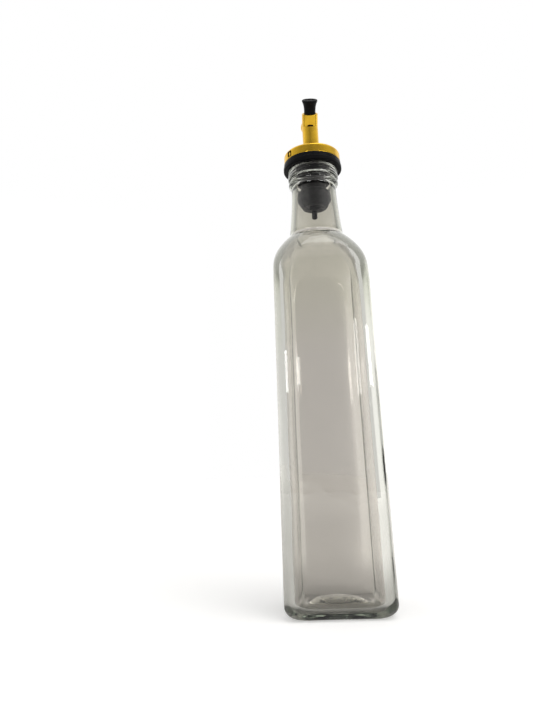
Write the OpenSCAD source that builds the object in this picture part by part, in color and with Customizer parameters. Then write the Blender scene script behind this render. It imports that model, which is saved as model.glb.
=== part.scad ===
// Square glass oil bottle with a plated pourer in its neck and a soft plug in the spout.
// Millimetres. +Z is up, the bottle stands on z = 0 with its axis on Z, and the spout points to -Y.

/* [Bottle body] */
// Width of the square body across its flats
body_width = 57.4; // [54:0.2:62]
// Radius of the body's upright corners
corner_radius = 7; // [6:0.1:12]
// Radius of the upright corners inside the body, where the glass is thicker
inner_corner = 8.5; // [6:0.1:12]
// Height at which the sides start to curve in to the shoulder
shoulder_height = 187; // [150:0.2:220]
// Radius of the shoulder's outward curve, seen from the side
shoulder_radius = 34; // [28:0.1:35]
// Radius of the inward curve where the shoulder meets the neck
neck_fillet = 3; // [2.5:0.1:6]
// Thickness of the glass in the walls and shoulder
glass_wall = 3.2; // [2.4:0.1:4]
// Radius of the rounded edge between the sides and the foot
heel_radius = 6.5; // [3:0.1:7]

/* [Bottle floor] */
// Height of the inner floor beside the walls
floor_height = 4; // [3.6:0.1:8]
// Radius of the curve between the inner floor and the walls
floor_fillet = 4; // [3:0.1:5.5]
// Radius of the hollow under the bottle
punt_radius = 19; // [15:0.5:20]
// Depth of the hollow under the bottle
punt_depth = 3.4; // [2:0.1:4]
// Radius of the low dome that rises from the inner floor
dome_radius = 17; // [14:0.5:18]
// Height of that dome above the inner floor
dome_rise = 3.2; // [1:0.1:4]

/* [Bottle neck] */
// Outer radius of the neck where it leaves the shoulder
neck_root_radius = 17.2; // [16.4:0.1:19]
// Outer radius of the neck under the finish
neck_top_radius = 14.75; // [14.4:0.05:16]
// Length of the tapered neck, from the shoulder to the finish
neck_length = 31.2; // [26:0.1:50]
// Radius of the straight bore at the top of the neck
bore_radius = 11.6; // [11.2:0.05:12.4]
// Height of the finish, the thickened ring at the mouth
finish_height = 15.5; // [15:0.1:20]
// Outer radius of the finish's upper ring
finish_radius = 16.7; // [16.3:0.1:18]
// Height of the finish's upper ring
ring_height = 6.4; // [5:0.1:7]
// Radius of the bead's round section, under the upper ring
bead_radius = 2.7; // [2.2:0.1:3]
// Distance of the bead's outermost line from the axis
bead_reach = 16.55; // [16:0.05:17.5]
// Width of the groove between the upper ring and the bead
ring_groove = 0.8; // [0.5:0.1:1.5]
// Rounding of the lip's edges
lip_round = 1; // [0.4:0.1:1.4]

/* [Stopper sleeve] */
// Gap between the soft sleeve and the bore, which the rubber closes when it is pressed in
neck_clearance = 0.3; // [0.2:0.05:0.5]
// How far the sleeve's flange, which sits on the lip, stands out past the core's flange
sleeve_flange_margin = 0.4; // [0:0.1:1]
// Thickness of the sleeve's flange
sleeve_flange_height = 3.1; // [2:0.1:4]
// Thickness of the sleeve's wall between its ribs
sleeve_wall = 1; // [0.8:0.1:1.4]
// Number of soft ribs above the waist
rib_count = 3; // [2:1:3]
// Depth of the lowest rib below the lip
rib_depth = 9.6; // [9.4:0.1:10]
// Distance from one rib to the next
rib_pitch = 3.4; // [3:0.1:3.6]
// Thickness of a rib at its edge
rib_height = 1.1; // [0.6:0.1:1.4]
// Depth below the lip at which the bell under the waist is widest
bell_depth = 21.6; // [20:0.1:26]
// Height of the bell's rounded shoulder
bell_shoulder = 5.6; // [4:0.1:6]
// Height of the bell's tapered underside
bell_taper = 4.6; // [3:0.1:7]

/* [Stopper core] */
// How far the core's flange stands out past the collar
core_flange_margin = 0.2; // [0:0.1:1]
// Thickness of the core's flange
core_flange_height = 2.6; // [2:0.1:4]
// Radius of the core's lower body
core_radius = 7.4; // [7.3:0.1:8]
// Radius of the core's wider top, under its flange
core_top_radius = 9.4; // [9.2:0.1:9.8]
// Depth of the core's wider top below the flange
core_top_depth = 6; // [5.6:0.1:8]
// Running gap between the sleeve and the core, which turns in it
turning_gap = 0.06; // [0.02:0.01:0.1]
// Radius of the passage that the oil flows up
flow_radius = 3.8; // [3:0.1:4]
// Distance of that passage in front of the axis
flow_offset = 2.2; // [1.8:0.1:2.5]
// Height of the ring on the core that carries the spout's plate
upstand_height = 4.6; // [3.5:0.1:6]
// Thickness of that ring
upstand_wall = 2.4; // [2:0.1:2.8]

/* [Air tube] */
// Outer radius of the air tube
air_tube_radius = 1.85; // [1.6:0.05:1.9]
// Radius of the hole through the air tube
air_bore_radius = 1; // [0.8:0.05:1.2]
// Distance of the air tube behind the axis
air_tube_offset = 5; // [4.9:0.05:5.1]
// Length of the air tube below the core
air_tube_stub = 5.2; // [3:0.1:12]

/* [Collar] */
// Outer radius of the plated collar
collar_radius = 19; // [18:0.1:21]
// Height of the collar
collar_height = 6.8; // [6.2:0.1:9]
// Thickness of the collar's wall
collar_wall = 1.3; // [1.2:0.1:1.6]
// Rounding of the collar's upper edge
collar_round = 2.9; // [2:0.1:3]
// Clearance between the breather and the edge of the opening in the collar's top
collar_mouth_gap = 0.35; // [0.3:0.05:0.6]
// Thickness of the collar's inturned top edge
collar_lip = 0.9; // [0.8:0.1:1.2]
// Bearing of the first snap tongue, seen from above and measured from the front
tongue_bearing = -55; // [-80:1:80]
// Width of the window cut round each snap tongue
window_width = 4; // [3:0.1:5]
// Height of that window
window_height = 4.2; // [3:0.1:4.4]
// Height of the collar's edge below the window
window_sill = 0.8; // [0.6:0.1:1.2]
// Width of the slot between the tongue and the collar
tongue_slot = 0.9; // [0.5:0.1:1.2]

/* [Spout] */
// Outer radius of the spout tube
spout_radius = 5.5; // [5:0.1:5.6]
// Thickness of the spout's wall
spout_wall = 1.2; // [0.9:0.05:1.6]
// Height of the elbow above the collar's top
elbow_height = 22.9; // [17:0.1:28]
// Lean of the spout's upper part from upright
spout_lean = 45; // [35:1:60]
// Length from the elbow to the mouth, along the axis
spout_reach = 9.5; // [9:0.1:16]
// Thickness of the round plate under the spout
plate_thickness = 1.2; // [1:0.1:1.5]
// Clearance between pressed or stacked pieces of the pourer
assembly_gap = 0.05; // [0.02:0.01:0.1]
// Outer radius of the spigot under the spout
spigot_radius = 4.7; // [4.5:0.05:4.8]
// Length of the spigot below the top of the core's flange
spigot_depth = 3.6; // [3:0.1:4]

/* [Breather] */
// Distance of the breather post behind the axis
breather_offset = 10.4; // [10.2:0.05:10.6]
// Radius of the breather's stem
breather_radius = 4.15; // [3.6:0.05:4.2]
// Radius of the ball on its top
breather_ball_radius = 5.9; // [4.6:0.05:5.9]
// Height of the ball's centre above the elbow
breather_ball_lift = 6.4; // [6:0.1:12]
// Radius of the breather's shank, in the core
shank_radius = 2.9; // [2.4:0.05:3]
// Depth of the shank's pocket in the core's flange
pocket_depth = 2; // [1.6:0.1:2.2]
// Height of the air chamber left under the shank
air_chamber = 0.7; // [0.4:0.1:1]

/* [Spout plug] */
// Gap between the soft plug and the spout's bore
plug_clearance = 0.3; // [0.2:0.05:0.5]
// Depth to which the plug goes into the spout
plug_depth = 6; // [4:0.1:8]
// Length of the plug that stands out of the spout
plug_proud = 9.4; // [6:0.1:12]
// Radius of the plug's flared top
plug_top_radius = 5.3; // [4.8:0.1:7]
// Radius of the plug's waist, outside the spout
plug_waist_radius = 3.8; // [3.2:0.1:3.9]
// Narrowing of the plug's inner end
plug_taper = 0.5; // [0.2:0.1:1]

/* [Hidden] */

// Facets of round shapes; they are true curves in the finished solids
$fn = 96;
// Steps in one corner of the body's outline, and in each of its vertical curves
corner_steps = 9;
shoulder_steps = 14;
heel_steps = 5;
blend_steps = 3;
// A cut runs past the face that it opens by this much
past = 1;

// The body's outline and the shoulder's curve
half_width = body_width / 2;
shoulder_centre = half_width - shoulder_radius;
// Height of the neck's foot, where the shoulder's inward curve ends
neck_foot = shoulder_height
    + sqrt(pow(shoulder_radius + neck_fillet, 2)
           - pow(neck_root_radius + neck_fillet - shoulder_centre, 2));
// Angle on the shoulder's curve, from level, at which the inward curve takes over
handover = atan2(neck_foot - shoulder_height, neck_root_radius + neck_fillet - shoulder_centre);
// The corners start to open out this far below the shoulder
corner_blend = 12;
corner_power = 1.5;
blend_foot = shoulder_height - corner_blend;
// The last outline under the neck is this near to a circle
nearly_round = 0.985;
// The round neck starts this much inside the many-sided shoulder
seam_inset = 0.12;
// Shape of the neck's taper: 1 is a straight cone
neck_curve = 1.4;
neck_steps = 10;

// Heights of the finish and the mouth
neck_top = neck_foot + neck_length;
mouth = neck_top + finish_height;
ring_bottom = mouth - ring_height;
bead_height = ring_bottom - ring_groove - bead_radius;

// The stopper stack on the mouth
sleeve_top = mouth + sleeve_flange_height;
core_top = sleeve_top + core_flange_height;
core_flange_radius = collar_radius + core_flange_margin;
sleeve_flange_radius = core_flange_radius + sleeve_flange_margin;
rib_radius = bore_radius - neck_clearance;
waist_radius = core_radius + turning_gap + sleeve_wall;
upper_sleeve_radius = core_top_radius + turning_gap + sleeve_wall;
core_step = mouth - core_top_depth;
bell_height = mouth - bell_depth;
bell_skirt = 1.4;
bell_bottom = bell_height - bell_taper - bell_skirt;
bell_end_wall = 0.8;
bell_end_radius = core_radius + turning_gap + bell_end_wall;
bell_steps = 8;
sleeve_round = 0.6;
core_end = bell_bottom - 0.2;
first_rib = mouth - rib_depth;

// The air path
air_tube_end = core_end - air_tube_stub;
air_tube_top = core_step + 0.4;
air_hole_radius = 1.1;
air_hole_end = breather_offset - 2.4;
pocket_floor = core_top - pocket_depth;
shank_bottom = pocket_floor + air_chamber;
air_hole_overrun = 0.3;

// The head: collar, plate and spout
collar_bottom = core_top;
collar_top = collar_bottom + collar_height;
collar_inner = collar_radius - collar_wall;
collar_mouth_radius = breather_offset + breather_radius + collar_mouth_gap;
plate_top = collar_top - collar_lip - assembly_gap;
plate_bottom = plate_top - plate_thickness;
plate_radius = collar_radius - collar_round - 0.1;
upstand_radius = collar_inner - 0.2;
upstand_top = min(collar_bottom + upstand_height, plate_bottom - assembly_gap);
collar_slope = collar_round - collar_wall;
hub_radius = 6;
bore_of_spout = spout_radius - spout_wall;
elbow = collar_top + elbow_height;
mouth_edge = 0.3;
// The elbow's round back is this much fuller than the tubes
elbow_swell = 0.04;

// The breather
ball_height = elbow + breather_ball_lift;
vent_radius = 1.2;

// The plug
plug_radius = bore_of_spout - plug_clearance;
plug_lip = 1.1;

// Colours of the materials
glass_colour = [0.78, 0.80, 0.76, 0.45];
rubber_colour = [0.06, 0.06, 0.065];
core_colour = [0.035, 0.035, 0.04];
gold_colour = [0.83, 0.64, 0.16];

// A ring of points: a square with round corners, of half width w and corner radius c, at height z
function ring(w, c, z) = [
    for (q = [0:3], i = [0:corner_steps])
        let (a = 90 * q + 90 * i / corner_steps,
             sx = (q == 0 || q == 3) ? 1 : -1,
             sy = (q < 2) ? 1 : -1)
        [sx * (w - c) + c * cos(a), sy * (w - c) + c * sin(a), z]
];

// Height and radius at which the shoulder, on a wall inset d, hands over to the neck
function seam_height(d) = shoulder_height + (shoulder_radius - d) * sin(handover);
function seam_radius(d) = shoulder_centre + (shoulder_radius - d) * cos(handover);

// How far the corners have opened at height z, from 0 on the body to 1 at the neck
function opened(z, d) =
    min(1, pow(max(0, (z - blend_foot) / (seam_height(d) - blend_foot)), corner_power));

// Corner radius of the outline at height z, for half width w and wall inset d
function corner_at(w, z, d) =
    let (body = d > 0 ? inner_corner : corner_radius)
    min(w * nearly_round, body + (w - body) * opened(z, d));

// Half width and height of each ring: the rounded lower edge, of radius r, from height z0
function lower_curve(d, r, z0) = [
    for (i = [0:heel_steps])
        let (a = 90 * i / heel_steps)
        [half_width - d - r + r * sin(a), z0 + r - r * cos(a)]
];

// Half width and height of each ring up the shoulder, on a wall inset d
function upper_curve(d) = concat(
    [for (i = [0:blend_steps - 1])
        [half_width - d, blend_foot + corner_blend * i / blend_steps]],
    [for (i = [0:shoulder_steps])
        let (a = handover * i / shoulder_steps)
        [shoulder_centre + (shoulder_radius - d) * cos(a),
         shoulder_height + (shoulder_radius - d) * sin(a)]]
);

// A closed solid through a stack of rings
module loft(rows, d) {
    n = 4 * (corner_steps + 1);
    rings = [for (row = rows) ring(row[0], corner_at(row[0], row[1], d), row[1])];
    points = [for (level = rings, p = level) p];
    last = len(rows) - 1;
    sides = [
        for (k = [0:last - 1], i = [0:n - 1])
            [k * n + i, (k + 1) * n + i, (k + 1) * n + (i + 1) % n, k * n + (i + 1) % n]
    ];
    floor_face = [[for (i = [0:n - 1]) i]];
    top_face = [[for (i = [0:n - 1]) last * n + n - 1 - i]];
    polyhedron(points = points, faces = concat(floor_face, sides, top_face), convexity = 4);
}

// Heel rings keep the foot's corners round while they draw in
module body_form(d, r, z0) loft(concat(lower_curve(d, r, z0), upper_curve(d)), d);

// Radius of the neck at height z, for a foot radius r0 and a top radius r1
function neck_radius(z, r0, r1) =
    r1 + (r0 - r1) * pow(max(0, 1 - (z - neck_foot) / neck_length), neck_curve);

// The half section of the neck and the inward curve under it, out to the wall inset d
module neck_section(d, r1, top) {
    fillet = neck_fillet + d;
    foot_radius = neck_root_radius - d;
    start_radius = seam_radius(d) - seam_inset;
    difference() {
        polygon(concat(
            [[0, seam_height(d) - past], [start_radius - past, seam_height(d) - past],
             [start_radius, seam_height(d)], [foot_radius + fillet * 0.2, neck_foot]],
            [for (i = [0:neck_steps])
                let (z = neck_foot + neck_length * i / neck_steps)
                [neck_radius(z, foot_radius, r1), z]],
            [[r1, top], [0, top]]));
        translate([foot_radius + fillet, neck_foot]) circle(fillet);
    }
}

module finish_section() {
    // The upper ring, with its top edge rounded
    translate([0, ring_bottom]) square([finish_radius, ring_height - lip_round]);
    square_top = mouth - lip_round;
    translate([0, square_top - past]) square([finish_radius - lip_round, lip_round + past]);
    translate([finish_radius - lip_round, square_top]) circle(lip_round);
    // The bead, and the straight neck behind it
    translate([bead_reach - bead_radius, bead_height]) circle(bead_radius);
    translate([0, neck_top - past]) square([neck_top_radius, finish_height]);
}

module glass_bottle() color(glass_colour) difference() {
    union() {
        body_form(0, heel_radius, 0);
        rotate_extrude() neck_section(0, neck_top_radius, neck_top);
        rotate_extrude() finish_section();
    }
    difference() {
        body_form(glass_wall, floor_fillet, floor_height);
        dome_sphere = (pow(dome_radius, 2) + pow(dome_rise, 2)) / (2 * dome_rise);
        translate([0, 0, floor_height + dome_rise - dome_sphere]) sphere(dome_sphere);
    }
    rotate_extrude() neck_section(glass_wall, bore_radius, neck_top);
    translate([0, 0, neck_top - past]) cylinder(r = bore_radius, h = finish_height + 2 * past);
    translate([0, 0, mouth - lip_round])
        cylinder(r1 = bore_radius, r2 = bore_radius + lip_round * 0.6, h = lip_round + 0.01);
    punt_sphere = (pow(punt_radius, 2) + pow(punt_depth, 2)) / (2 * punt_depth);
    translate([0, 0, punt_depth - punt_sphere]) sphere(punt_sphere);
}

module stopper_sleeve() color(rubber_colour) difference() {
    rotate_extrude() {
        // The flange, with its outer edges rounded
        translate([0, mouth]) square([sleeve_flange_radius - sleeve_round, sleeve_flange_height]);
        translate([0, mouth + sleeve_round])
            square([sleeve_flange_radius, sleeve_flange_height - 2 * sleeve_round]);
        for (z = [mouth + sleeve_round, sleeve_top - sleeve_round])
            translate([sleeve_flange_radius - sleeve_round, z]) circle(sleeve_round);
        // The wide upper part and its ribs
        translate([0, first_rib - rib_height])
            square([upper_sleeve_radius, mouth - first_rib + rib_height + past]);
        for (i = [0:rib_count - 1])
            translate([0, first_rib + i * rib_pitch]) rib_section();
        // The waist and the bell
        translate([0, bell_height]) square([waist_radius, first_rib - bell_height]);
        bell_section();
    }
    translate([0, 0, bell_bottom - past])
        cylinder(r = core_radius + turning_gap, h = sleeve_top - bell_bottom + 2 * past);
    translate([0, 0, core_step - turning_gap])
        cylinder(r = core_top_radius + turning_gap, h = sleeve_top - core_step + past);
}

// One rib: a soft disc that thins to its edge
module rib_section() polygon([
    [0, -rib_height], [upper_sleeve_radius, -rib_height], [rib_radius, -rib_height / 2],
    [rib_radius, rib_height / 2], [upper_sleeve_radius, rib_height], [0, rib_height]
]);

// The bell: a tapered underside, a short straight skirt and a rounded shoulder
module bell_section() polygon(concat(
    [[0, bell_bottom], [bell_end_radius, bell_bottom], [rib_radius, bell_height - bell_skirt]],
    [for (i = [0:bell_steps])
        let (a = 90 * i / bell_steps)
        [waist_radius + (rib_radius - waist_radius) * cos(a), bell_height + bell_shoulder * sin(a)]],
    [[0, bell_height + bell_shoulder]]
));

module stopper_core() color(core_colour) difference() {
    union() {
        translate([0, 0, core_end]) cylinder(r = core_radius, h = core_top - core_end);
        translate([0, 0, core_step]) cylinder(r = core_top_radius, h = core_top - core_step);
        translate([0, 0, sleeve_top]) cylinder(r = core_flange_radius, h = core_flange_height);
        translate([0, 0, core_top - past]) cylinder(r = upstand_radius, h = upstand_top - core_top + past);
    }
    // The room inside the ring, under the spout's plate
    translate([0, 0, core_top])
        cylinder(r = upstand_radius - upstand_wall, h = upstand_height + past);
    // The spigot's seat and the oil passage
    translate([0, 0, core_top - spigot_depth - assembly_gap])
        cylinder(r = spigot_radius + assembly_gap, h = spigot_depth + past);
    translate([0, -flow_offset, core_end - past])
        cylinder(r = flow_radius, h = core_top - spigot_depth - core_end + past + 0.01);
    // The air tube's seat, the slanting hole above it and the breather's pocket
    translate([0, air_tube_offset, core_end - past])
        cylinder(r = air_tube_radius + assembly_gap, h = air_tube_top - core_end + past);
    air_rise = pocket_floor - air_tube_top + 2 * air_hole_overrun;
    slant = atan2(air_hole_end - air_tube_offset, air_rise);
    translate([0, air_tube_offset, air_tube_top - air_hole_overrun]) rotate([-slant, 0, 0])
        cylinder(r = air_hole_radius, h = air_rise / cos(slant));
    translate([0, breather_offset, pocket_floor])
        cylinder(r = shank_radius + assembly_gap, h = pocket_depth + past);
}

module air_tube() color(core_colour)
    translate([0, air_tube_offset, air_tube_end]) difference() {
        cylinder(r = air_tube_radius, h = air_tube_top - air_tube_end);
        translate([0, 0, -past])
            cylinder(r = air_bore_radius, h = air_tube_top - air_tube_end + 2 * past);
    }

module collar() color(gold_colour) difference() {
    rotate_extrude() difference() {
        union() {
            translate([0, collar_bottom]) square([collar_radius, collar_height - collar_round]);
            translate([0, collar_bottom]) square([collar_radius - collar_round, collar_height]);
            translate([collar_radius - collar_round, collar_top - collar_round]) circle(collar_round);
        }
        polygon([
            [-past, collar_bottom - past], [collar_inner, collar_bottom - past],
            [collar_inner, collar_top - collar_lip - collar_slope],
            [collar_inner - collar_slope, collar_top - collar_lip],
            [-past, collar_top - collar_lip]
        ]);
        translate([-past, collar_bottom]) square([collar_mouth_radius + past, collar_height + past]);
    }
    // The windows: a slot down both sides of each tongue and under it
    for (bearing = [tongue_bearing, tongue_bearing + 180])
        rotate([0, 0, bearing]) translate([0, -collar_inner, collar_bottom + window_sill])
            tongue_window();
}

// A window to the front, less the tongue that hangs in it from the collar's top
module tongue_window() difference() {
    translate([-window_width / 2, -2 * collar_wall, 0])
        cube([window_width, 3 * collar_wall, window_height]);
    translate([-window_width / 2 + tongue_slot, -3 * collar_wall, tongue_slot])
        cube([window_width - 2 * tongue_slot, 5 * collar_wall, window_height]);
}

// Tubes of the spout's path: upright to the elbow, then leaning to the front
module spout_path(r, foot, reach) {
    translate([0, 0, foot]) cylinder(r = r, h = elbow - foot);
    translate([0, 0, elbow]) {
        sphere(r + elbow_swell);
        rotate([spout_lean, 0, 0]) cylinder(r = r, h = reach);
    }
}

module spout() color(gold_colour) difference() {
    union() {
        spout_path(spout_radius, plate_bottom, spout_reach);
        translate([0, 0, plate_bottom]) cylinder(r = plate_radius, h = plate_thickness);
        translate([0, 0, core_top + assembly_gap])
            cylinder(r = hub_radius, h = plate_bottom - core_top);
        translate([0, 0, core_top - spigot_depth]) cylinder(r = spigot_radius, h = spigot_depth + past);
    }
    spout_path(bore_of_spout, plate_top, spout_reach + past);
    translate([0, 0, core_top - spigot_depth - past])
        cylinder(r = min(bore_of_spout, spigot_radius - 0.8), h = elbow - core_top);
    // The mouth's inner edge is eased
    translate([0, 0, elbow]) rotate([spout_lean, 0, 0]) translate([0, 0, spout_reach - mouth_edge])
        cylinder(r1 = bore_of_spout, r2 = bore_of_spout + mouth_edge, h = mouth_edge + 0.01);
    // The breather's shank passes through the plate
    translate([0, breather_offset, plate_bottom - past])
        cylinder(r = shank_radius + assembly_gap, h = plate_thickness + 2 * past);
}

module breather() color(gold_colour) translate([0, breather_offset, 0]) difference() {
    union() {
        translate([0, 0, shank_bottom])
            cylinder(r = shank_radius, h = plate_top - shank_bottom + past);
        translate([0, 0, plate_top + assembly_gap])
            cylinder(r = breather_radius, h = ball_height - plate_top);
        translate([0, 0, ball_height]) sphere(breather_ball_radius);
    }
    translate([0, 0, shank_bottom - past])
        cylinder(r = vent_radius, h = ball_height + breather_ball_radius - shank_bottom + 2 * past);
}

module spout_plug() color(rubber_colour)
    translate([0, 0, elbow]) rotate([spout_lean, 0, 0]) translate([0, 0, spout_reach])
        rotate_extrude() plug_section();

// The plug's half section, from its inner end to its dished top
module plug_section() {
    flare_start = plug_proud * 0.35;
    polygon(concat(
        [[0, -plug_depth], [plug_radius - plug_taper, -plug_depth], [plug_radius, -plug_depth * 0.4],
         [plug_radius, 0]],
        [for (i = [0:6])
            let (s = i / 6)
            [plug_waist_radius + (plug_top_radius - plug_waist_radius) * pow(s, 2),
             flare_start + (plug_proud - plug_lip - flare_start) * s]],
        [[plug_top_radius, plug_proud - 0.3], [plug_top_radius - 0.3, plug_proud],
         [plug_top_radius - 1.2, plug_proud], [plug_top_radius - 2, plug_proud - 0.6],
         [0, plug_proud - 0.6]]));
}

glass_bottle();
stopper_sleeve();
stopper_core();
air_tube();
collar();
spout();
breather();
spout_plug();
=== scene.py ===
import math

import bmesh
import bpy
from bpy.props import FloatProperty, FloatVectorProperty, IntProperty, PointerProperty
from mathutils import Matrix, Vector, noise


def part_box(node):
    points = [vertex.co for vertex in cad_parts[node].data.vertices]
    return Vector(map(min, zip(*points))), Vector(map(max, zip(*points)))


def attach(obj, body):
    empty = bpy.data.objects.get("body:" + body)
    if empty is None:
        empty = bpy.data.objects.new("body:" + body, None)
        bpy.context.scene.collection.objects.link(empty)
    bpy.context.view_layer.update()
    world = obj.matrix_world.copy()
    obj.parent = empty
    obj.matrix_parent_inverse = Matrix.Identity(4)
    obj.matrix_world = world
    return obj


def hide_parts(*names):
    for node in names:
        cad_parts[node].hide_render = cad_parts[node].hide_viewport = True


bl_info = {
    "name": "Square Glass Oil Bottle",
    "version": (1, 0, 0),
    "blender": (4, 5, 0),
    "location": "3D View > Sidebar > Oil Bottle",
    "description": "Builds a square glass oil bottle with a gold-plated pourer and a soft plug",
    "category": "Add Mesh",
}

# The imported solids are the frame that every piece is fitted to.
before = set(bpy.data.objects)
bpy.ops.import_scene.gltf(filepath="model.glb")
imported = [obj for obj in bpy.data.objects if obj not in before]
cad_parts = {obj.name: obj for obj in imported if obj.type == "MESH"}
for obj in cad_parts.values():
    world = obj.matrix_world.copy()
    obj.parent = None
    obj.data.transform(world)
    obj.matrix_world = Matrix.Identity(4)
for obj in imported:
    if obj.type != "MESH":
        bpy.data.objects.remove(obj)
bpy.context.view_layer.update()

MM = 0.001
UP = Vector((0, 0, 1))
WHITE = (1.0, 1.0, 1.0, 1.0)

# Faces that meet at more than this are drawn with a crisp edge
SHARP = math.radians(32)


def top_of(node):
    """Height of a solid's top, in millimetres."""
    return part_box(node)[1].z / MM


def foot_of(node):
    """Height of a solid's underside, in millimetres."""
    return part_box(node)[0].z / MM


def reach_of(node):
    """How far a solid reaches from the bottle's axis along X, in millimetres."""
    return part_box(node)[1].x / MM


# ------------------------------------------------------------------ sizes and colours


def length(name, description, millimetres):
    """A size that the panel shows as a length."""
    return FloatProperty(
        name=name,
        description=description,
        default=millimetres * MM,
        min=0.0,
        precision=5,
        subtype="DISTANCE",
        unit="LENGTH",
    )


def angle(name, description, degrees):
    """A size that the panel shows as an angle."""
    return FloatProperty(
        name=name, description=description, default=math.radians(degrees), subtype="ANGLE", unit="ROTATION"
    )


def linear(code):
    """sRGB hex as the linear colour that the shaders take."""
    parts = [int(code[i : i + 2], 16) / 255 for i in (0, 2, 4)]
    return tuple(p / 12.92 if p <= 0.04045 else ((p + 0.055) / 1.055) ** 2.4 for p in parts) + (1.0,)


def shade(name, description, code):
    """A colour that the panel shows as a swatch, given as sRGB hex."""
    colour = linear(code)[:3]
    return FloatVectorProperty(
        name=name, description=description, default=colour, size=3, min=0.0, max=1.0, subtype="COLOR"
    )


class BottleSizes(bpy.types.PropertyGroup):
    """Sizes of the glass bottle."""

    corner_radius: length("Corner radius", "Radius of the body's upright corners", 7.0)
    inner_corner_radius: length("Inner corner radius", "Radius of the corners inside the body", 8.5)
    shoulder_height: length("Shoulder height", "Height at which the sides start to curve in", 187.0)
    shoulder_radius: length("Shoulder radius", "Radius of the shoulder's outward curve", 34.0)
    neck_fillet: length("Neck fillet", "Radius of the inward curve at the neck's foot", 3.0)
    corner_blend: length("Corner blend", "Depth below the shoulder at which the corners open out", 12.0)
    wall: length("Wall", "Thickness of the glass", 3.2)
    heel_radius: length("Heel radius", "Rounding between the sides and the foot", 6.5)
    floor_height: length("Floor height", "Height of the inner floor beside the walls", 4.0)
    floor_fillet: length("Floor fillet", "Curve between the inner floor and the walls", 4.0)
    punt_radius: length("Punt radius", "Radius of the hollow under the bottle", 19.0)
    punt_depth: length("Punt depth", "Depth of the hollow under the bottle", 3.4)
    dome_radius: length("Dome radius", "Radius of the low dome on the inner floor", 17.0)
    dome_rise: length("Dome rise", "Height of the dome above the inner floor", 3.2)
    neck_root_radius: length("Neck root radius", "Radius of the neck where it leaves the shoulder", 17.2)
    neck_top_radius: length("Neck top radius", "Radius of the neck under its rings", 14.75)
    finish_height: length("Finish height", "Height of the ringed mouth", 15.5)
    ring_radius: length("Ring radius", "Radius of the mouth's upper ring", 16.7)
    ring_height: length("Ring height", "Height of the mouth's upper ring", 6.4)
    bead_radius: length("Bead radius", "Radius of the bead's round section", 2.7)
    bead_reach: length("Bead reach", "Radius of the bead's outermost line", 16.55)
    bore_radius: length("Bore radius", "Radius of the bore in the mouth", 11.6)
    knurl_depth: length("Knurl depth", "Depth of the ridges under the foot", 0.35)
    knurl_pitch: length("Knurl pitch", "Distance from one ridge to the next", 1.8)
    waviness: length("Waviness", "How far the moulded inner face wanders", 0.10)


class PourerSizes(bpy.types.PropertyGroup):
    """Sizes of the pourer in the bottle's mouth."""

    rib_radius: length("Rib radius", "Radius of the sleeve's ribs", 11.3)
    rib_depth: length("Rib depth", "Depth of the lowest rib below the lip", 9.6)
    rib_pitch: length("Rib pitch", "Distance from one rib to the next", 3.4)
    rib_height: length("Rib height", "Thickness of a rib at its edge", 1.1)
    rib_count: IntProperty(name="Ribs", description="Number of ribs above the waist", default=3, min=1, max=4)
    bell_depth: length("Bell depth", "Depth below the lip at which the bell is widest", 21.6)
    core_radius: length("Core radius", "Radius of the core's lower body", 7.4)
    core_top_radius: length("Core top radius", "Radius of the core's wider top", 9.4)
    core_step_depth: length("Core step depth", "Depth below the lip at which the core widens", 6.0)
    flow_radius: length("Oil passage radius", "Radius of the passage up the core", 3.8)
    flow_offset: length("Oil passage offset", "Distance of that passage in front of the axis", 2.2)
    air_tube_radius: length("Air tube radius", "Outer radius of the air tube", 1.85)
    air_bore_radius: length("Air bore radius", "Radius of the hole in the air tube", 1.0)
    air_tube_offset: length("Air tube offset", "Distance of the air tube behind the axis", 5.0)
    collar_round: length("Collar rounding", "Rounding of the collar's upper edge", 2.9)
    collar_wall: length("Collar wall", "Thickness of the collar", 1.3)
    window_width: length("Window width", "Width of the windows in the collar", 4.0)
    window_height: length("Window height", "Height of the windows in the collar", 4.2)
    window_bearing: angle("Window bearing", "Bearing of the first window from the front", -55)
    spout_radius: length("Spout radius", "Outer radius of the spout", 5.5)
    spout_bore: length("Spout bore", "Radius of the spout's bore", 4.3)
    spout_rise: length("Spout rise", "Height of the elbow above the collar", 22.9)
    spout_reach: length("Spout reach", "Length from the elbow to the mouth", 9.5)
    spout_lean: angle("Spout lean", "Lean of the spout's upper part", 45)
    breather_offset: length("Breather offset", "Distance of the breather behind the axis", 10.4)
    breather_radius: length("Breather radius", "Radius of the breather's stem", 4.15)
    ball_radius: length("Ball radius", "Radius of the ball on the breather", 5.9)
    plug_depth: length("Plug depth", "Depth of the plug in the spout", 6.0)
    plug_proud: length("Plug height", "Length of the plug outside the spout", 9.4)
    plug_radius: length("Plug radius", "Radius of the plug in the spout", 4.0)
    plug_top_radius: length("Plug top radius", "Radius of the plug's flared top", 5.3)


class Finishes(bpy.types.PropertyGroup):
    """Colours of the materials and the stage."""

    glass: shade("Glass", "Tint of the glass at its surface", "DFDBD7")
    glass_depth: shade("Glass in depth", "Colour that thick glass turns to", "599561")
    # Near white, so that the dots under the bottle show bright: painted highlight for the glints they catch
    frosting: shade("Matt glass", "Colour of the matt dots under the bottle", "F2F3EE")
    gold: shade("Gold plate", "Colour of the plating", "F2C23A")
    gold_worn: shade("Gold in the hollows", "Darker tone of the plating", "DDAE34")
    rubber: shade("Rubber", "Colour of the sleeve", "0A0A0C")
    plastic: shade("Plastic", "Colour of the core", "0D0D10")
    plug: shade("Plug", "Colour of the plug", "080809")
    floor: shade("Floor", "Colour of the stage floor", "E8E7E5")


# ------------------------------------------------------------------ outlines and meshes


# A rounding takes up at most this share of the sides it lies between
LONGEST_CUT = 0.49


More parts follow.
